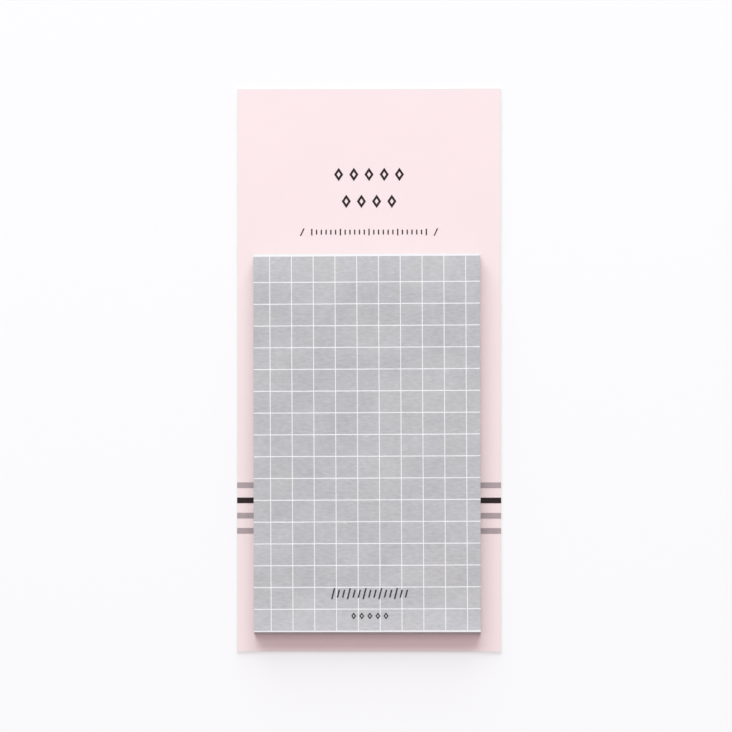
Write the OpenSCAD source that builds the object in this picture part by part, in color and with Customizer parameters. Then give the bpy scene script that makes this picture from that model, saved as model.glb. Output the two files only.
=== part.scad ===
// A daily planner pad: a thin pad of squared memo sheets stuck flat on a printed backing card.
// The card lies on its back, centred on the origin, with its underside at Z = 0.
// +Y runs to the card's head edge, +X to its right-hand edge, and +Z up out of the sheets.

/* [Backing card] */
// Width of the card, side to side
card_w = 60.8; // [58:0.1:80]
// Height of the card, foot edge to head edge
card_h = 129.7; // [126:0.1:170]
// Thickness of the card's board
card_t = 0.45; // [0.2:0.05:2]

/* [Card stripes] */
// Height of each printed stripe
stripe_h = 1.3; // [0.6:0.1:2.2]
// Distance from one stripe's centre line to the next
stripe_pitch = 3.5; // [2.5:0.1:6]
// Height of the black stripe's centre line above the card's foot edge
black_stripe_rise = 34.8; // [26:0.1:60]
// Number of grey stripes below the black one
stripes_below = 2; // [1:1:4]
// Number of grey stripes above the black one
stripes_above = 1; // [1:1:4]

/* [Card ornament] */
// Width of one diamond, point to point
diamond_w = 2.1; // [1.6:0.1:3.2]
// Height of one diamond, point to point
diamond_h = 3.1; // [2:0.1:4.5]
// Width of the diamonds' printed outline
diamond_line = 0.5; // [0.2:0.05:0.6]
// Distance from one diamond's centre to the next
diamond_pitch = 3.5; // [3.3:0.1:4.5]
// Number of diamonds in the upper row, one more than in the lower row
upper_diamonds = 5; // [2:1:8]
// Distance from the card's head edge down to the upper row's centre line
upper_row_drop = 19.8; // [6:0.1:26]
// Distance from the upper row's centre line to the lower row's
row_step = 6.2; // [4.6:0.1:8]

/* [Hour scale] */
// Distance from the card's head edge down to the scale's centre line
scale_drop = 33.1; // [31:0.1:37]
// Number of hours that the scale counts
scale_hours = 24; // [12:6:24]
// Number of hours from one long tick to the next
long_tick_every = 6; // [2:1:6]
// Distance from one tick to the next
tick_pitch = 1.1; // [0.8:0.05:1.15]
// Printed width of a tick
tick_line = 0.3; // [0.1:0.05:0.35]
// Height of a short tick
short_tick_h = 1.1; // [0.5:0.1:1.4]
// Height of a long tick
long_tick_h = 1.5; // [1:0.1:2.4]
// Gap from the last tick to the slanted stroke that closes the scale
slant_gap = 2.2; // [1.2:0.1:4]
// Height of the two slanted strokes
slant_h = 1.7; // [1:0.1:2.6]
// Sideways lean of the two slanted strokes over their height
slant_lean = 0.8; // [0:0.1:1.5]

/* [Memo pad] */
// Width of the sheets
pad_w = 52; // [46:0.5:56]
// Height of the sheets
pad_h = 86.7; // [60:0.1:89]
// Thickness of the whole stack of sheets
pad_t = 3.4; // [0.8:0.1:12]
// Gap from the card's foot edge to the foot of the top sheet
pad_foot_gap = 4.7; // [2:0.1:5]
// Distance of the pad's middle from the card's middle, plus to the right
pad_shift = -0.4; // [-1.5:0.1:1.5]
// Angle by which the pad was stuck on out of square, in degrees
pad_turn = 0.1; // [-0.5:0.02:0.5]
// Distance that the lowest sheet's foot lies past the top sheet's foot
foot_fan = 0.8; // [0.1:0.1:1.5]

/* [Squared print] */
// Size of the printed squares, line centre to line centre
square_pitch = 5; // [3:0.5:10]
// Width of the unprinted lines between the squares
line_w = 0.2; // [0.1:0.05:0.8]
// Distance from the sheet's left edge to the centre of the first upright line
first_line_left = 3.85; // [1:0.05:5]
// Distance from the sheet's foot edge to the centre of the lowest cross line
first_line_foot = 0.3; // [0.2:0.05:4]
// Least width of the column to the right of the last upright line
last_column_min = 3; // [1:0.5:5]
// Least height of the row above the last cross line
last_row_min = 5.5; // [1:0.5:8]
// Height of the unprinted strip along the sheet's head edge
head_margin = 0.5; // [0.3:0.1:4]
// Angle by which the print lies out of square with the trimmed sheet, in degrees
print_skew = 0.18; // [-0.4:0.02:0.4]

/* [Pad ornament] */
// Distance of the ornament's middle from the sheet's middle, plus to the right
ornament_shift = 0.6; // [-3:0.1:3]
// Number of slanted strokes in the hatched row
hatch_count = 15; // [3:1:24]
// Distance from one slanted stroke to the next
hatch_pitch = 1.2; // [0.8:0.05:1.6]
// Printed width of the slanted strokes
hatch_line = 0.36; // [0.1:0.02:0.4]
// Height of the short strokes
short_stroke_h = 1.8; // [0.8:0.1:2]
// Height of every third stroke, which is a tall one
tall_stroke_h = 2.5; // [1.5:0.1:3]
// Sideways lean of a stroke for each millimetre of its height
hatch_lean = 0.25; // [0:0.05:0.5]
// Height of the hatched row's centre line above the sheet's foot edge
hatch_rise = 8.8; // [7:0.1:20]
// Number of small diamonds
small_diamonds = 5; // [1:1:9]
// Width of one small diamond
small_diamond_w = 1.15; // [0.8:0.05:1.5]
// Height of one small diamond
small_diamond_h = 1.6; // [1:0.1:2.2]
// Width of the small diamonds' printed outline
small_diamond_line = 0.26; // [0.1:0.02:0.26]
// Distance from one small diamond's centre to the next
small_diamond_pitch = 1.85; // [1.6:0.05:2.4]
// Height of the small diamonds' centre line above the sheet's foot edge
small_diamond_rise = 3.7; // [2:0.1:4]

/* [Ink] */
// Thickness of one layer of printed ink
ink_t = 0.03; // [0.02:0.01:0.1]

/* [Hidden] */

card_foot = -card_h / 2;
pad_middle = card_foot + pad_foot_gap + pad_h / 2;
pad_under = card_t + ink_t;
sheet_left = -pad_w / 2;
sheet_foot = -pad_h / 2;
sheet_head = pad_h / 2;
upright_lines = floor((pad_w - first_line_left - last_column_min) / square_pitch) + 1;
cross_lines = floor((pad_h - first_line_foot - head_margin - last_row_min) / square_pitch) + 1;
// The squares are printed past the sheet's two sides and then trimmed with it
bleed = 3;
// Every third stroke of the hatching is a tall one
tall_every = 3;

card_pink = [0.96, 0.86, 0.87];
ink_black = [0.12, 0.09, 0.1];
stripe_grey = [0.65, 0.58, 0.6];
paper_white = [0.95, 0.95, 0.94];
square_grey = [0.74, 0.75, 0.76];

// Puts a flat shape on the card as ink, its centre line at the given height above the card's foot
module ink_on_card(rise) {
    translate([0, card_foot + rise, card_t])
        linear_extrude(ink_t)
            children();
}

// Puts its children in the pad's own frame, from the pad's underside up
module in_pad_frame() {
    translate([pad_shift, pad_middle, pad_under])
        rotate([0, 0, pad_turn])
            children();
}

// Puts a flat shape on the top sheet as ink, on top of the given number of ink layers
module ink_on_sheet(layers_below) {
    in_pad_frame()
        translate([0, 0, pad_t + layers_below * ink_t])
            linear_extrude(ink_t)
                children();
}

// An upright diamond outline about its own centre
module diamond_outline(width, height, line) {
    half_w = width / 2;
    half_h = height / 2;
    inner = 1 - line * sqrt(half_w * half_w + half_h * half_h) / (half_w * half_h);
    difference() {
        polygon([[half_w, 0], [0, half_h], [-half_w, 0], [0, -half_h]]);
        polygon(inner * [[half_w, 0], [0, half_h], [-half_w, 0], [0, -half_h]]);
    }
}

// A level row of diamond outlines, centred
module diamond_row(count, pitch, width, height, line) {
    for (i = [0 : count - 1])
        translate([(i - (count - 1) / 2) * pitch, 0])
            diamond_outline(width, height, line);
}

// A straight stroke about its own centre, with level ends and a sideways lean
module stroke(width, height, lean) {
    polygon([
        [-(width + lean) / 2, -height / 2],
        [(width - lean) / 2, -height / 2],
        [(width + lean) / 2, height / 2],
        [(lean - width) / 2, height / 2]
    ]);
}

module backing_card() {
    color(card_pink)
        translate([-card_w / 2, card_foot, 0])
            cube([card_w, card_h, card_t]);
}

// The stripes run the full width of the card, and behind the pad
module stripe(step) {
    ink_on_card(black_stripe_rise + step * stripe_pitch)
        square([card_w, stripe_h], center = true);
}

module black_stripe() {
    color(ink_black)
        stripe(0);
}

module grey_stripes() {
    color(stripe_grey) {
        for (step = [1 : stripes_below])
            stripe(-step);
        for (step = [1 : stripes_above])
            stripe(step);
    }
}

module head_diamonds() {
    color(ink_black) {
        ink_on_card(card_h - upper_row_drop)
            diamond_row(upper_diamonds, diamond_pitch, diamond_w, diamond_h, diamond_line);
        ink_on_card(card_h - upper_row_drop - row_step)
            diamond_row(upper_diamonds - 1, diamond_pitch, diamond_w, diamond_h, diamond_line);
    }
}

// One tick for each hour, closed by a slanted stroke at each end
module hour_scale() {
    half_scale = scale_hours * tick_pitch / 2;
    color(ink_black)
        ink_on_card(card_h - scale_drop) {
            for (hour = [0 : scale_hours])
                translate([hour * tick_pitch - half_scale, 0])
                    square([tick_line, hour % long_tick_every == 0 ? long_tick_h : short_tick_h],
                           center = true);
            for (side = [-1, 1])
                translate([side * (half_scale + slant_gap), 0])
                    stroke(tick_line, slant_h, slant_lean);
        }
}

// All the sheets as one block, whose foot leans outwards towards the lowest sheet
module sheet_stack() {
    color(paper_white)
        in_pad_frame()
            rotate([90, 0, 90])
                linear_extrude(pad_w, center = true)
                    polygon([
                        [sheet_foot - foot_fan, 0],
                        [sheet_head, 0],
                        [sheet_head, pad_t],
                        [sheet_foot, pad_t]
                    ]);
}

// The grey field runs up from the lowest cross line to the bare strip at the head, and the sheet
// trims it at both sides
module grey_field() {
    intersection() {
        square([pad_w, pad_h], center = true);
        rotate(print_skew)
            translate([sheet_left - bleed, sheet_foot + first_line_foot])
                square([pad_w + 2 * bleed, pad_h - first_line_foot - head_margin]);
    }
}

module square_lines() {
    for (i = [0 : upright_lines - 1])
        translate([sheet_left + first_line_left + i * square_pitch - line_w / 2, sheet_foot - bleed])
            square([line_w, pad_h + 2 * bleed]);
    for (j = [0 : cross_lines - 1])
        translate([sheet_left - bleed, sheet_foot + first_line_foot + j * square_pitch - line_w / 2])
            square([pad_w + 2 * bleed, line_w]);
}

module squared_print() {
    color(square_grey)
        ink_on_sheet(0)
            difference() {
                grey_field();
                rotate(print_skew)
                    square_lines();
            }
}

// The ornament at the sheet's foot is printed over the squares
module foot_hatching() {
    color(ink_black)
        ink_on_sheet(1)
            translate([ornament_shift, sheet_foot + hatch_rise])
                for (i = [0 : hatch_count - 1])
                    let (height = i % tall_every == 0 ? tall_stroke_h : short_stroke_h)
                        translate([(i - (hatch_count - 1) / 2) * hatch_pitch, 0])
                            stroke(hatch_line, height, hatch_lean * height);
}

module foot_diamonds() {
    color(ink_black)
        ink_on_sheet(1)
            translate([ornament_shift, sheet_foot + small_diamond_rise])
                diamond_row(small_diamonds, small_diamond_pitch, small_diamond_w, small_diamond_h,
                            small_diamond_line);
}

backing_card();
black_stripe();
grey_stripes();
head_diamonds();
hour_scale();
sheet_stack();
squared_print();
foot_hatching();
foot_diamonds();
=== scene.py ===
"""Dresses the daily planner pad: a pad of squared memo sheets on a printed backing card."""

import math
import random

import bmesh
import bpy
from bpy.props import FloatProperty, FloatVectorProperty, IntProperty, PointerProperty
from mathutils import Matrix, Vector, noise


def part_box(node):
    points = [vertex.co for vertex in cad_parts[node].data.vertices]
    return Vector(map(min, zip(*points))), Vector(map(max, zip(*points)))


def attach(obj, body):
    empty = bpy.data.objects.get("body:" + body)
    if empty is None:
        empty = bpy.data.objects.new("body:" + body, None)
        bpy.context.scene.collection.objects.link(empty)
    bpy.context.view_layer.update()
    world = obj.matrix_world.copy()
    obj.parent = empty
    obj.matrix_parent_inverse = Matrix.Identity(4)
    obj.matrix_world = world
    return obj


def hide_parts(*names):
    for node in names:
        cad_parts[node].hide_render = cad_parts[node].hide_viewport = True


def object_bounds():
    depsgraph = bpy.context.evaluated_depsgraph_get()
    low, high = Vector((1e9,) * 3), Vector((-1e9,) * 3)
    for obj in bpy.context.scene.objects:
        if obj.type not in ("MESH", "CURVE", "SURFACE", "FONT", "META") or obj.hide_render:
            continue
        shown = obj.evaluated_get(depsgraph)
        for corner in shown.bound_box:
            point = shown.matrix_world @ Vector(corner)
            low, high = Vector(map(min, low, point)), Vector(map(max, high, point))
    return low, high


bl_info = {
    "name": "Daily Planner Pad",
    "version": (1, 0, 0),
    "blender": (4, 5, 0),
    "location": "View3D > Sidebar > Planner",
    "description": "Models and finishes a carded memo pad around its packed frame",
    "category": "Object",
}

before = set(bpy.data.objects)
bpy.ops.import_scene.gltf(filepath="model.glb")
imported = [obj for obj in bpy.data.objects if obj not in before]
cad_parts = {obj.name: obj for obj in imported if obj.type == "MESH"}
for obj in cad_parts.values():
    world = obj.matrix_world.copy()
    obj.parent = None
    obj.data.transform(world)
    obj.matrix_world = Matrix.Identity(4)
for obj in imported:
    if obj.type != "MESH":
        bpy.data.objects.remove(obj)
CAD_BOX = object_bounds()

MM = 0.001
# Corners of the frame's solids that lie this close to a level count as being on it
TOUCH = 0.005 * MM
PHOTO_WIDTH = 732
SENSOR_WIDTH = 36.0
FLOOR_SIZE = 8.0
# The floor lies this far under the card, so that the two never share a face
FLOOR_DROP = 0.02 * MM
NEAR_CLIP = 1 * MM
FAR_CLIP = 50.0
# Faces that meet at more than this are an edge to be rounded
SHARP = math.radians(60)
CORNER_SEGMENTS = 3
CARD_CUTS = 5
CARD_RIM_SEGMENTS = 3
SHEET_CUTS = 15
SHEET_RIM_SEGMENTS = 1
# Facets that meet at less than this are shaded as one surface
SMOOTH_BELOW = math.radians(30)
SHEET_SEED = 11
# Corners this close to a sheet's edge move with it
EDGE_ZONE = 0.5 * MM
# Noise waves for each metre of a sheet's edge, and the step in the noise from sheet to sheet
EDGE_WAVES = 60
NEXT_SHEET_WAVES = 5.3


def size_mm(name, description, default):
    """A length property with its default given in millimetres."""
    return FloatProperty(name=name, description=description, default=default * MM, min=0.0,
                         subtype="DISTANCE", unit="LENGTH", precision=6)


def colour(name, description, default):
    """A linear colour property."""
    return FloatVectorProperty(name=name, description=description, default=default, size=3,
                               min=0.0, max=1.0, subtype="COLOR")


def place_mm(name, description, default):
    """A point property with its default given in millimetres."""
    return FloatVectorProperty(name=name, description=description, size=3, subtype="TRANSLATION",
                               unit="LENGTH", default=tuple(value * MM for value in default))


def share(name, description, default):
    """A property from 0 to 1."""
    return FloatProperty(name=name, description=description, default=default, min=0.0, max=1.0,
                         subtype="FACTOR")


class PlannerStageSettings(bpy.types.PropertyGroup):
    """Floor, light and camera."""

    camera_place: place_mm("Camera place", "Where the lens is", (22.94, -15.59, 921.1))
    camera_aim: place_mm("Camera aim", "The point in the middle of the picture", (-0.71, 0.892, 0.0))
    focal_pixels: FloatProperty(
        name="Focal length in pixels", description="Focal length, in pixels of the photograph's frame",
        default=4000.0, min=100.0)
    lamp_distance: size_mm("Lamp distance", "Distance of the window light and the high light", 2500.0)
    window_width: size_mm("Window width", "Width of the window light", 3000.0)
    window_height: size_mm("Window height", "Height of the window light", 1900.0)
    window_rise: FloatProperty(
        name="Window rise", description="Height angle of the window light's middle",
        default=math.radians(25), subtype="ANGLE", unit="ROTATION")
    window_swing: FloatProperty(
        name="Window swing", description="Angle of both lights to the left of the card's head",
        default=math.radians(4), subtype="ANGLE", unit="ROTATION")
    window_share: share("Window share", "Part of the light on a level face from the window", 0.645)
    high_size: size_mm("High light size", "Width and height of the light above the window", 700.0)
    high_rise: FloatProperty(
        name="High light rise", description="Height angle of the light above the window",
        default=math.radians(64), subtype="ANGLE", unit="ROTATION")
    high_share: share("High light share", "Part of the light on a level face from the high light", 0.085)
    window_colour: colour("Window colour", "Cool daylight of both lights", (0.88, 1.0, 0.99))
    sky_level: share("Sky level", "Brightness of the even light from all around", 0.495)
    sky_colour: colour("Sky colour", "Warm light that the room gives back", (1.0, 0.843, 0.857))
    floor_colour: colour("Floor colour", "Colour of the floor as the object sees it", (0.9, 0.9, 0.9))
    floor_shade: share("Floor shade", "How much of the light and shadow the floor shows", 0.47)
    floor_glow: share("Floor glow", "Brightness that the seen floor has of itself", 0.517)
    glow_colour: colour("Glow colour", "Colour of the floor's own brightness", (0.973, 0.964, 1.0))
    backdrop_colour: colour("Backdrop colour", "What is seen past the floor", (0.97, 0.97, 0.98))


class PlannerCardSettings(bpy.types.PropertyGroup):
    """Board and face of the backing card."""

    face_colour: colour("Face colour", "Pale pink print on the face", (0.963, 0.808, 0.827))
    board_colour: colour("Board colour", "Layered board at the cut edges", (0.70, 0.68, 0.66))
    rim_colour: colour("Rim colour", "Worn print along the face's edges", (0.88, 0.82, 0.815))
    back_colour: colour("Back colour", "Uncoated back of the board", (0.80, 0.78, 0.74))
    rim_round: size_mm("Rim rounding", "Rounding that the cutter leaves along the edges", 0.02)
    corner_round: size_mm("Corner rounding", "Rounding of the four corners", 0.15)
    edge_wear: size_mm("Edge wear", "Width of the worn print along the edges", 0.42)


class PlannerSheetSettings(bpy.types.PropertyGroup):
    """The memo sheets of the pad."""

    sheet_count: IntProperty(name="Sheets", description="Number of sheets in the pad", default=30,
                             min=5, max=60)
    sheet_gap: size_mm("Sheet gap", "Air between one sheet and the next at the edges", 0.008)
    rim_round: size_mm("Rim rounding", "Rounding of each sheet's cut edge", 0.012)
    corner_round: size_mm("Corner rounding", "Rounding of each sheet's corners", 0.1)
    wander: size_mm("Wander", "Most that a sheet lies out of line with the top one", 0.035)
    edge_wave: size_mm("Edge wave", "Most that a cut edge wanders inwards", 0.02)
    paper_colour: colour("Paper colour", "White of the sheets", (0.945, 0.95, 0.972))
    edge_colour: colour("Edge colour", "Cut edges of the stacked sheets, with thin shade between them",
                        (0.60, 0.585, 0.585))
    gum_colour: colour("Gum colour", "Gum that holds the sheets along their head edge", (0.30, 0.29, 0.29))
    # Painted light: the lower sheets' grey print, made lighter and a little warmer than the top sheet's
    # print to stand in for light at the foot
    ledge_print_painted_lighter: colour("Ledge colour", "Printed strips of the lower sheets that show at the foot",
                         (0.64, 0.6, 0.61))


class PlannerInkSettings(bpy.types.PropertyGroup):
    """Colours of the printed inks, and the lines between the squares."""

    square_colour: colour("Square ink", "Cool grey of the squared print", (0.522, 0.524, 0.558))
    stripe_colour: colour("Stripe ink", "Warm grey of the card's stripes", (0.443, 0.368, 0.388))
    black_colour: colour("Black ink", "Warm black on the card", (0.020, 0.0102, 0.0122))
    sheet_colour: colour("Sheet ink", "Dark grey of the pad's ornament", (0.045, 0.043, 0.046))
    square_pitch: size_mm("Square pitch", "Distance from one unprinted line to the next", 5.0)
    lowest_line: size_mm("Lowest line", "Height of the lowest cross line above the sheet's foot", 0.3)
    highest_line: size_mm("Highest line", "Height of the highest cross line above the lowest", 80.0)
    print_skew: FloatProperty(
        name="Print skew", description="Angle of the squared print out of square with the sheet",
        default=math.radians(0.18), subtype="ANGLE", unit="ROTATION")
    bare_reach: size_mm("Bare reach", "Half the width of an unprinted line", 0.1)
    # Painted light: paper white is painted on the ink out to this distance from each cross line's middle,
    # against the shade of the ink's step
    painted_light_reach: size_mm("Thin reach", "Distance from a cross line's middle to where the ink is full",
                        0.135)


SETTINGS = {
    "planner_stage": PlannerStageSettings,
    "planner_card": PlannerCardSettings,
    "planner_sheets": PlannerSheetSettings,
    "planner_inks": PlannerInkSettings,
}


# Shader building


class Value:
    """One output of a shader node, on which plain arithmetic adds Math nodes."""

    def __init__(self, finish, socket):
        self.finish = finish
        self.socket = socket

    def __add__(self, other):
        return self.finish.math("ADD", self, other)

    def __radd__(self, other):
        return self.finish.math("ADD", other, self)

    def __sub__(self, other):
        return self.finish.math("SUBTRACT", self, other)

    def __rsub__(self, other):
        return self.finish.math("SUBTRACT", other, self)

    def __mul__(self, other):
        return self.finish.math("MULTIPLY", self, other)

    def __rmul__(self, other):
        return self.finish.math("MULTIPLY", other, self)

    def __truediv__(self, other):
        return self.finish.math("DIVIDE", self, other)

    def __rtruediv__(self, other):
        return self.finish.math("DIVIDE", other, self)

    def __abs__(self):
        return self.finish.math("ABSOLUTE", self)


class Finish:
    """A material, world or floor shader, built node by node."""

    def __init__(self, owner):
        owner.use_nodes = True
        self.owner = owner
        self.tree = owner.node_tree
        self.tree.nodes.clear()

    def node(self, kind, settings=None, sockets=None, output=0):
        """Adds a node, sets it up, fills or links its sockets and returns one output."""
        made = self.tree.nodes.new(kind)
        for name, setting in (settings or {}).items():
            setattr(made, name, setting)
        for key, given in (sockets or {}).items():
            if isinstance(given, Value):
                self.tree.links.new(given.socket, made.inputs[key])
            else:
                made.inputs[key].default_value = given
        return Value(self, made.outputs[output]) if len(made.outputs) else None

    def math(self, operation, *operands):
        """The result of a Math node."""
        return self.node("ShaderNodeMath", {"operation": operation}, dict(enumerate(operands)))

    def place(self):
        """Where a point lies on the piece, in metres."""
        return self.node("ShaderNodeTexCoord", output="Object")

    def facing_up(self):
        """1 on faces that point up, 0 on sides and undersides."""
        normal = self.node("ShaderNodeTexCoord", output="Normal")
        return self.ramp(self.part(normal, "Z"), 0.5, 0.8)

    def part(self, vector, axis):
        return self.node("ShaderNodeSeparateXYZ", {}, {"Vector": vector}, axis)

    def stretched(self, scale, turn=0.0, place=(0, 0, 0)):
        """The place on the piece, seen from a point and an angle, then stretched."""
        seen = self.node("ShaderNodeMapping", {"vector_type": "TEXTURE"}, {
            "Vector": self.place(), "Location": place, "Rotation": (0, 0, turn)})
        return self.node("ShaderNodeMapping", {}, {"Vector": seen, "Scale": scale})

    def grain(self, scale, detail=2.0, roughness=0.5, turn=0.0):
        """Even noise about 0, in features per metre along X, Y and Z."""
        found = self.node("ShaderNodeTexNoise", {}, {
            "Vector": self.stretched(scale, turn), "Scale": 1.0, "Detail": detail,
            "Roughness": roughness})
        return found - 0.5

    def ramp(self, value, start, end, low=0.0, high=1.0):
        """Runs smoothly from low to high as the value goes from start to end."""
        return self.node("ShaderNodeMapRange", {"interpolation_type": "SMOOTHSTEP"}, {
            "Value": value, "From Min": start, "From Max": end, "To Min": low, "To Max": high})

    def blend(self, factor, low, high):
        """A colour between two others."""
        return self.node("ShaderNodeMix", {"data_type": "RGBA"},
                         {0: factor, 6: low, 7: high}, output=2)

    def shade(self, tone, strength):
        """A colour made lighter or darker by a strength about 1."""
        given = tone if isinstance(tone, Value) else tuple(tone)
        return self.node("ShaderNodeVectorMath", {"operation": "SCALE"},
                         {0: given, "Scale": strength})

    def bump(self, height, depth):
        """A surface normal from a height map whose full range is depth metres."""
        return self.node("ShaderNodeBump", {}, {"Height": height, "Distance": depth, "Strength": 1.0})

    def principled(self, roughness_socket, sockets):
        shader = self.node("ShaderNodeBsdfPrincipled", {}, {"Roughness": roughness_socket, **sockets})
        self.output(shader)

    def output(self, shader):
        self.node("ShaderNodeOutputMaterial", {}, {"Surface": shader})


def rgba(tone, tint=(1.0, 1.0, 1.0)):
    """A linear colour with its alpha, optionally tinted."""
    return (*(channel * part for channel, part in zip(tone, tint)), 1.0)


# Measures from the frame


def corners_at(node, level):
    """The four corners of a block-like CAD node at a height: foot left and right, head left and right."""
    found = {}
    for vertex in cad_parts[node].data.vertices:
        if abs(vertex.co.z - level) < TOUCH:
            found[tuple(round(value / TOUCH) for value in vertex.co)] = vertex.co.copy()
    points = sorted(found.values(), key=lambda point: point.y)
    if len(points) != 4:
        raise RuntimeError(f"{node} has {len(points)} corners at height {level}, not 4")
    foot = sorted(points[:2], key=lambda point: point.x)
    head = sorted(points[2:], key=lambda point: point.x)
    return foot + head


class PadMeasures:
    """Size, place and turn of the memo pad, read from its CAD solid."""

    def __init__(self):
        low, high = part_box("sheet_stack")
        foot_left, foot_right, head_left, head_right = corners_at("sheet_stack", high.z)
        lowest_left = corners_at("sheet_stack", low.z)[0]
        across = foot_right - foot_left
        along = head_left - foot_left
        self.width = across.length
        self.height = along.length
        self.turn = math.atan2(across.y, across.x)
        self.middle = (foot_left + head_right) / 2
        self.under = low.z
        self.thickness = high.z - low.z
        self.foot_fan = -(lowest_left - foot_left).dot(along.normalized())


PAD = PadMeasures()
CARD_LOW, CARD_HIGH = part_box("backing_card")


# Modelling


def add_block(name, low, high):
    """A box between two corners, alone selected, with its place in its mesh."""
    bpy.ops.object.select_all(action="DESELECT")
    bpy.ops.mesh.primitive_cube_add(size=1, location=(low + high) / 2, scale=high - low)
    bpy.ops.object.transform_apply(location=True, rotation=True, scale=True)
    block = bpy.context.object
    block.name = name
    return block


def pick_edges(block, wanted):
    """Selects the edges of the mesh in edit mode that a test accepts, and no others."""
    bpy.ops.mesh.select_mode(type="EDGE")
    bpy.ops.mesh.select_all(action="DESELECT")
    mesh = bmesh.from_edit_mesh(block.data)
    for edge in mesh.edges:
        if wanted(edge):
            edge.select_set(True)
    bmesh.update_edit_mesh(block.data)


def is_level(edge):
    return abs(edge.verts[0].co.z - edge.verts[1].co.z) < TOUCH


def is_rim(edge):
    return is_level(edge) and edge.calc_face_angle(0) > SHARP


def is_corner(edge):
    return not is_level(edge) and edge.calc_face_angle(0) > SHARP


def round_block(block, cuts, corner_round, rim_round, rim_segments):
    """Divides a block's faces, then rounds its upright corners and its rims."""
    bpy.ops.object.mode_set(mode="EDIT")
    pick_edges(block, is_level)
    bpy.ops.mesh.subdivide(number_cuts=cuts)
    pick_edges(block, is_corner)
    bpy.ops.mesh.bevel(offset=corner_round, segments=CORNER_SEGMENTS, affect="EDGES")
    pick_edges(block, is_rim)
    bpy.ops.mesh.bevel(offset=rim_round, segments=rim_segments, affect="EDGES")
    bpy.ops.object.mode_set(mode="OBJECT")


def copy_piece(piece):
    """A copy with its own mesh, alone selected."""
    bpy.ops.object.select_all(action="DESELECT")
    piece.select_set(True)
    bpy.context.view_layer.objects.active = piece
    bpy.ops.object.duplicate(linked=False)
    return bpy.context.object


def join_pieces(pieces, name):
    """Makes one object of several."""
    bpy.ops.object.select_all(action="DESELECT")
    for piece in pieces:
        piece.select_set(True)
    bpy.context.view_layer.objects.active = pieces[0]
    bpy.ops.object.join()
    joined = bpy.context.object
    joined.name = name
    return joined


def give_finish(piece, material):
    """Puts one material on every slot of a piece."""
    if not piece.data.materials:
        piece.data.materials.append(material)
    for slot in piece.material_slots:
        slot.material = material


# Finishes


def paper_tooth(finish, turn=0.0):
    """Fibre lying across the sheet with a finer tooth over it, about 0."""
    fibre = finish.grain((700, 2000, 2000), detail=3.0, roughness=0.6, turn=turn)
    tooth = finish.grain((7000, 7000, 7000), detail=1.0)
    return fibre, tooth


def card_finish(settings):
    """Pale pink print on the face, bare layered board at the cut edges, plain board behind."""
    finish = Finish(bpy.data.materials.new("pink_printed_card"))
    place = finish.place()
    side_gap = CARD_HIGH.x - abs(finish.part(place, "X"))
    end_gap = CARD_HIGH.y - abs(finish.part(place, "Y"))
    edge_gap = finish.math("MINIMUM", side_gap, end_gap)
    chipping = finish.grain((2200, 2200, 2200), detail=3.0, roughness=0.7)
    wear = settings.edge_wear
    bare_rim = finish.ramp(edge_gap + chipping * (wear * 1.6), wear * 0.2, wear, 1.0, 0.0)
    upward = finish.facing_up()
    printed = upward * (1 - bare_rim)

    cloud = finish.grain((45, 45, 45), detail=2.0)
    fleck = finish.grain((2600, 3200, 2600), detail=3.0, roughness=0.65)
    face_light = 1 + cloud * 0.03 + fleck * 0.035
    face = finish.shade(settings.face_colour, face_light)
    ply = finish.grain((350, 350, 16000), detail=2.0, roughness=0.6)
    board = finish.shade(settings.board_colour, 1 + ply * 0.25)
    fibre, tooth = paper_tooth(finish)
    back = finish.shade(settings.back_colour, 1 + fibre * 0.12 + tooth * 0.05)
    underneath = finish.ramp(finish.part(place, "Z"), CARD_LOW.z + 0.01 * MM, CARD_LOW.z + 0.05 * MM,
                             1.0, 0.0)
    side = finish.blend(underneath, board, back)
    bare = finish.blend(upward, side, rgba(settings.rim_colour))
    height = (fleck * 0.6 + tooth * 0.4) * printed + (ply + fibre) * (1 - printed)
    finish.principled(0.9 - printed * 0.1 + fleck * 0.12, {
        "Base Color": finish.blend(printed, bare, face),
        "Normal": finish.bump(height, 0.006 * MM),
        "Specular IOR Level": 0.1,
    })
    return finish.owner


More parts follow.
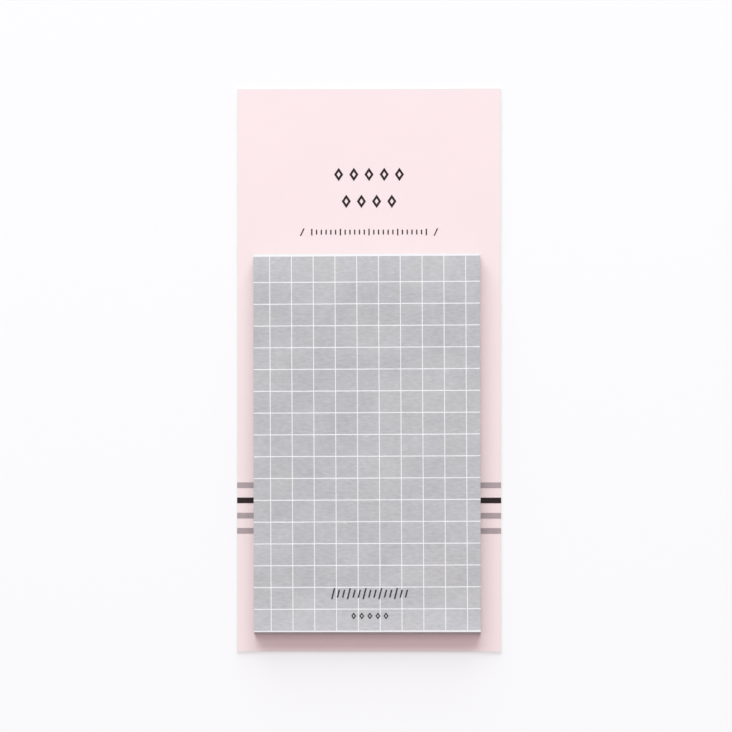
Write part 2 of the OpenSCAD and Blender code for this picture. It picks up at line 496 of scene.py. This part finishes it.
def sheet_finish(settings):
    """White uncoated paper. Lower sheets show their grey print on their ledges and at their cut edges,
    painted lighter and a little warmer than the top sheet's print as painted light.
    """
    finish = Finish(bpy.data.materials.new("memo_paper_sheets"))
    pitch = PAD.thickness / settings.sheet_count
    height = finish.part(finish.place(), "Z") - PAD.under
    layer = height / pitch
    number = finish.math("FLOOR", layer)
    tone = finish.node("ShaderNodeTexWhiteNoise", {"noise_dimensions": "1D"}, {"W": number})
    within = layer - number
    upward = finish.facing_up()
    covered = finish.ramp(height, PAD.thickness - pitch * 0.6, PAD.thickness - pitch * 0.3, 1.0, 0.0)
    inked = upward * covered + finish.ramp(within, 0.5, 0.9) * (1 - upward) * 0.8
    fibre, tooth = paper_tooth(finish, PAD.turn)
    knife = finish.grain((9000, 9000, 500), detail=2.0)
    seen = finish.stretched((1, 1, 1), PAD.turn, tuple(PAD.middle))
    head_gap = PAD.height / 2 - finish.part(seen, "Y")
    gummed = finish.ramp(head_gap + knife * (0.04 * MM), 0.05 * MM, 0.09 * MM, 1.0, 0.0)
    cut_edge = finish.blend(gummed, rgba(settings.edge_colour), rgba(settings.gum_colour))
    sheet = finish.blend(upward, cut_edge, rgba(settings.paper_colour))
    bundle = finish.grain((30, 30, 2600), detail=1.0)
    cut_tone = (1 - upward) * (tone * 0.3 + bundle * 0.6 + knife * 0.15)
    paper = finish.shade(sheet, 1 + fibre * 0.03 + tooth * 0.02 - cut_tone)
    # Grey print of the lower sheets, painted lighter as painted light
    ledge = finish.shade(settings.ledge_print_painted_lighter, 1 + fibre * 0.1)
    finish.principled(0.86 + tooth * 0.1, {
        "Base Color": finish.blend(inked, paper, ledge),
        "Normal": finish.bump(fibre * 0.6 + tooth * 0.4 + knife * (1 - upward), 0.008 * MM),
        "Specular IOR Level": 0.1,
    })
    return finish.owner


def square_ink_finish(settings, paper_colour):
    """Cool grey ink sunk in paper: mottled, with painted light that makes it a little lighter at both
    ends, and paper white painted beside the cross lines as painted light against the shade of the ink's
    step.
    """
    finish = Finish(bpy.data.materials.new("grey_squared_print"))
    fibre, tooth = paper_tooth(finish, PAD.turn)
    cloud = finish.grain((90, 160, 90), detail=3.0, roughness=0.6, turn=PAD.turn)
    hue = finish.grain((120, 120, 120), detail=1.0, turn=PAD.turn)
    seen = finish.stretched((1, 1, 1), PAD.turn, tuple(PAD.middle))
    headwards = finish.part(seen, "Y")
    # Painted light: the ink is made up to 11 per cent lighter over the last 11 mm at both ends of the
    # sheet, and a little darker towards the head
    ends = finish.ramp(abs(headwards), PAD.height / 2 - 11 * MM, PAD.height / 2, 0.0, 0.11)
    light = 1 + fibre * 0.44 + tooth * 0.06 + cloud * 0.28 + ends - headwards * 0.5
    cool = finish.ramp(hue, -0.2, 0.2)
    tone = finish.blend(cool, rgba(settings.square_colour),
                        rgba(settings.square_colour, tint=(1.02, 1.01, 0.975)))
    ink = finish.shade(tone, light)
    bare_fibre = finish.ramp(fibre + tooth * 0.35, 0.24, 0.34) * 0.5
    # The frame's ink is thicker than real ink and its step shades the cross lines, so paper white is
    # painted on the ink beside them: painted light that makes up for that shade
    half_pitch = settings.square_pitch / 2
    squared = finish.stretched((1, 1, 1), PAD.turn + settings.print_skew, tuple(PAD.middle))
    above_lowest = finish.part(squared, "Y") + (PAD.height / 2 - settings.lowest_line)
    from_line = finish.math("PINGPONG", above_lowest, half_pitch)
    lined = finish.ramp(above_lowest, settings.highest_line + half_pitch / 2,
                        settings.highest_line + half_pitch, 1.0, 0.0)
    painted_line_light = finish.ramp(from_line, settings.bare_reach, settings.painted_light_reach, 1.0, 0.0) * lined
    # Paper shows where fibres break through the ink, and as painted light beside the cross lines
    bare = finish.math("MAXIMUM", painted_line_light, bare_fibre)
    finish.principled(0.8 + fibre * 0.2 + tooth * 0.1, {
        "Base Color": finish.blend(bare, ink, rgba(paper_colour)),
        "Normal": finish.bump(fibre * 0.65 + tooth * 0.35, 0.012 * MM),
        "Specular IOR Level": 0.15,
    })
    return finish.owner


def solid_ink_finish(name, ink_colour, ground_colour, missed, roughness):
    """A solid print in which the ground shows through at fine pinholes and along rough fibres."""
    finish = Finish(bpy.data.materials.new(name))
    fibre, tooth = paper_tooth(finish)
    cloud = finish.grain((260, 260, 260), detail=2.0)
    ink = finish.shade(ink_colour, 1 + fibre * 0.3 + cloud * 0.2)
    pinholes = finish.ramp(tooth + fibre * 0.5, 0.2, 0.42) * missed
    finish.principled(roughness + fibre * 0.2, {
        "Base Color": finish.blend(pinholes, ink, rgba(ground_colour)),
        "Normal": finish.bump(fibre * 0.5 + tooth * 0.5, 0.008 * MM),
        "Specular IOR Level": 0.2,
    })
    return finish.owner


def seen_factor(finish):
    """1 for what the camera sees, directly, in a reflection or through glass."""
    names = ("Is Camera Ray", "Is Glossy Ray", "Is Transmission Ray")
    camera, glossy, glass = (finish.node("ShaderNodeLightPath", output=name) for name in names)
    return finish.math("MINIMUM", camera + glossy + glass, 1.0)


def floor_finish(settings):
    """A pale floor that keeps the object's shadow, shown as a bright studio sweep."""
    finish = Finish(bpy.data.materials.new("studio_floor"))
    lit = finish.node("ShaderNodeBsdfDiffuse", {}, {"Color": rgba(settings.floor_colour)})
    shade = finish.node("ShaderNodeBsdfDiffuse", {}, {"Color": rgba([settings.floor_shade] * 3)})
    glow = finish.node("ShaderNodeEmission", {}, {
        "Color": rgba(settings.glow_colour), "Strength": settings.floor_glow})
    seen = finish.node("ShaderNodeAddShader", {}, {0: shade, 1: glow})
    finish.output(finish.node("ShaderNodeMixShader", {}, {0: seen_factor(finish), 1: lit, 2: seen}))
    return finish.owner


# Operators


class PLANNER_OT_stage(bpy.types.Operator):
    """Sets up the pale floor, the window light, the even light around and the camera"""

    bl_idname = "planner.stage"
    bl_label = "Stage"

    def execute(self, context):
        settings = context.scene.planner_stage
        self.add_floor(settings)
        self.add_lamp(settings, "window_light", settings.window_rise, settings.window_share,
                      settings.window_width, settings.window_height)
        self.add_lamp(settings, "high_light", settings.high_rise, settings.high_share,
                      settings.high_size, settings.high_size)
        self.set_sky(context.scene, settings)
        self.add_camera(context.scene, settings)
        context.scene.view_settings.view_transform = "Standard"
        return {"FINISHED"}

    def add_floor(self, settings):
        bpy.ops.object.select_all(action="DESELECT")
        bpy.ops.mesh.primitive_plane_add(size=FLOOR_SIZE, location=(0, 0, CAD_BOX[0][2] - FLOOR_DROP))
        bpy.ops.object.transform_apply(location=True, rotation=True, scale=True)
        floor = bpy.context.object
        floor.name = "studio_floor"
        give_finish(floor, floor_finish(settings))

    def add_lamp(self, settings, name, rise, level_share, width, height):
        """A soft lamp beyond the card's head that gives a level face its share of the light."""
        swing = settings.window_swing
        towards = Vector((-math.sin(swing) * math.cos(rise), math.cos(swing) * math.cos(rise),
                          math.sin(rise)))
        bpy.ops.object.light_add(type="AREA", location=towards * settings.lamp_distance)
        panel = bpy.context.object
        panel.name = name
        panel.rotation_euler = towards.to_track_quat("Z", "Y").to_euler()
        lamp = panel.data
        lamp.color = settings.window_colour
        lamp.shape = "RECTANGLE"
        lamp.size = width
        lamp.size_y = height
        reach = math.pi * settings.lamp_distance
        lamp.energy = level_share * reach * reach / math.sin(rise)
        panel.visible_camera = False

    def set_sky(self, scene, settings):
        scene.world = bpy.data.worlds.new("even_sky")
        finish = Finish(scene.world)
        around = finish.node("ShaderNodeBackground", {}, {"Strength": settings.sky_level,
                                                          "Color": rgba(settings.sky_colour)})
        backdrop = finish.node("ShaderNodeBackground", {}, {"Strength": 1.0,
                                                            "Color": rgba(settings.backdrop_colour)})
        mixed = finish.node("ShaderNodeMixShader", {}, {0: seen_factor(finish), 1: around, 2: backdrop})
        finish.node("ShaderNodeOutputWorld", {}, {"Surface": mixed})

    def add_camera(self, scene, settings):
        place = Vector(settings.camera_place)
        back = (place - Vector(settings.camera_aim)).normalized()
        right = Vector((0, 1, 0)).cross(back).normalized()
        bpy.ops.object.camera_add(location=place)
        camera = bpy.context.object
        camera.name = "photo_camera"
        camera.rotation_euler = Matrix((right, back.cross(right), back)).transposed().to_euler()
        camera.data.sensor_width = SENSOR_WIDTH
        camera.data.lens = settings.focal_pixels / PHOTO_WIDTH * SENSOR_WIDTH
        camera.data.clip_start = NEAR_CLIP
        camera.data.clip_end = FAR_CLIP
        scene.camera = camera


class PLANNER_OT_card(bpy.types.Operator):
    """Models the backing card's board, its rims rounded by the cutter, and prints it pink"""

    bl_idname = "planner.card"
    bl_label = "Backing card"

    def execute(self, context):
        settings = context.scene.planner_card
        card = add_block("printed_card", CARD_LOW, CARD_HIGH)
        round_block(card, CARD_CUTS, settings.corner_round, settings.rim_round, CARD_RIM_SEGMENTS)
        give_finish(card, card_finish(settings))
        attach(card, "root")
        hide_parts("backing_card")
        return {"FINISHED"}


class PLANNER_OT_sheets(bpy.types.Operator):
    """Models one memo sheet and stacks copies of it into the pad"""

    bl_idname = "planner.sheets"
    bl_label = "Memo sheets"

    def execute(self, context):
        settings = context.scene.planner_sheets
        pitch = PAD.thickness / settings.sheet_count
        half = Vector((PAD.width / 2, PAD.height / 2, 0))
        thickness = Vector((0, 0, pitch - settings.sheet_gap))
        master = add_block("memo_sheet", -half - thickness, half)
        round_block(master, SHEET_CUTS, settings.corner_round, settings.rim_round, SHEET_RIM_SEGMENTS)
        draw = random.Random(SHEET_SEED)
        sheets = [self.lay_sheet(master, number, settings, draw)
                  for number in range(1, settings.sheet_count)]
        master.data.transform(Matrix.Translation((0, 0, PAD.thickness)))
        pad = join_pieces([master] + sheets, "memo_sheets")
        pad.rotation_euler.z = PAD.turn
        pad.location = Vector((PAD.middle.x, PAD.middle.y, PAD.under))
        bpy.ops.object.transform_apply(location=True, rotation=True, scale=True)
        bpy.ops.object.shade_smooth_by_angle(angle=SMOOTH_BELOW)
        give_finish(pad, sheet_finish(settings))
        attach(pad, "root")
        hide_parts("sheet_stack")
        return {"FINISHED"}

    def lay_sheet(self, master, number, settings, draw):
        """Copies the sheet to its place in the stack, counted from the lowest, and works its edges."""
        sheet = copy_piece(master)
        rise = PAD.thickness * number / settings.sheet_count
        lengthened = PAD.foot_fan * (1 - rise / PAD.thickness)
        aside = draw.uniform(-settings.wander, settings.wander)
        ragged = draw.uniform(0, settings.wander)
        for vertex in sheet.data.vertices:
            x, y, z = vertex.co
            waves = Vector((x * EDGE_WAVES, y * EDGE_WAVES, number * NEXT_SHEET_WAVES))
            inwards = settings.edge_wave * (0.5 + 0.5 * noise.noise(waves))
            if abs(x) > PAD.width / 2 - EDGE_ZONE:
                vertex.co.x = x - math.copysign(inwards, x) + aside
            if y < EDGE_ZONE - PAD.height / 2:
                vertex.co.y = y - lengthened + ragged + inwards
            elif y > PAD.height / 2 - EDGE_ZONE:
                vertex.co.y = y - inwards * 0.5
            vertex.co.z = z + rise
        return sheet


class PLANNER_OT_card_print(bpy.types.Operator):
    """Finishes the stripes, the diamonds and the hour scale printed on the card"""

    bl_idname = "planner.card_print"
    bl_label = "Card print"

    def execute(self, context):
        inks = context.scene.planner_inks
        ground = context.scene.planner_card.face_colour
        black = solid_ink_finish("black_card_ink", inks.black_colour, ground, missed=0.04, roughness=0.55)
        grey = solid_ink_finish("grey_stripe_ink", inks.stripe_colour, ground, missed=0.25, roughness=0.6)
        for name in ("black_stripe", "head_diamonds", "hour_scale"):
            give_finish(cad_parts[name], black)
        give_finish(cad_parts["grey_stripes"], grey)
        return {"FINISHED"}


class PLANNER_OT_sheet_print(bpy.types.Operator):
    """Finishes the squares and the ornament printed on the top sheet"""

    bl_idname = "planner.sheet_print"
    bl_label = "Sheet print"

    def execute(self, context):
        inks = context.scene.planner_inks
        paper = context.scene.planner_sheets.paper_colour
        squares = square_ink_finish(inks, paper)
        ornament = solid_ink_finish("dark_sheet_ink", inks.sheet_colour, inks.square_colour,
                                    missed=0.3, roughness=0.7)
        give_finish(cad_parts["squared_print"], squares)
        for name in ("foot_hatching", "foot_diamonds"):
            give_finish(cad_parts[name], ornament)
        return {"FINISHED"}


OPERATORS = (PLANNER_OT_stage, PLANNER_OT_card, PLANNER_OT_sheets, PLANNER_OT_card_print,
             PLANNER_OT_sheet_print)


class PLANNER_PT_panel(bpy.types.Panel):
    """The planner pad's settings and steps"""

    bl_idname = "PLANNER_PT_panel"
    bl_label = "Daily Planner Pad"
    bl_space_type = "VIEW_3D"
    bl_region_type = "UI"
    bl_category = "Planner"

    def draw(self, context):
        for name, group in SETTINGS.items():
            box = self.layout.box()
            box.label(text=group.__doc__)
            for field in group.__annotations__:
                box.prop(getattr(context.scene, name), field)
        for operator in OPERATORS:
            self.layout.operator(operator.bl_idname)


def register():
    for group in SETTINGS.values():
        bpy.utils.register_class(group)
    for name, group in SETTINGS.items():
        setattr(bpy.types.Scene, name, PointerProperty(type=group))
    for operator in OPERATORS:
        bpy.utils.register_class(operator)
    bpy.utils.register_class(PLANNER_PT_panel)


def unregister():
    bpy.utils.unregister_class(PLANNER_PT_panel)
    for operator in reversed(OPERATORS):
        bpy.utils.unregister_class(operator)
    for name, group in SETTINGS.items():
        delattr(bpy.types.Scene, name)
        bpy.utils.unregister_class(group)


def main():
    register()
    bpy.ops.planner.stage()
    bpy.ops.planner.card()
    bpy.ops.planner.sheets()
    bpy.ops.planner.card_print()
    bpy.ops.planner.sheet_print()


if __name__ == "__main__":
    main()
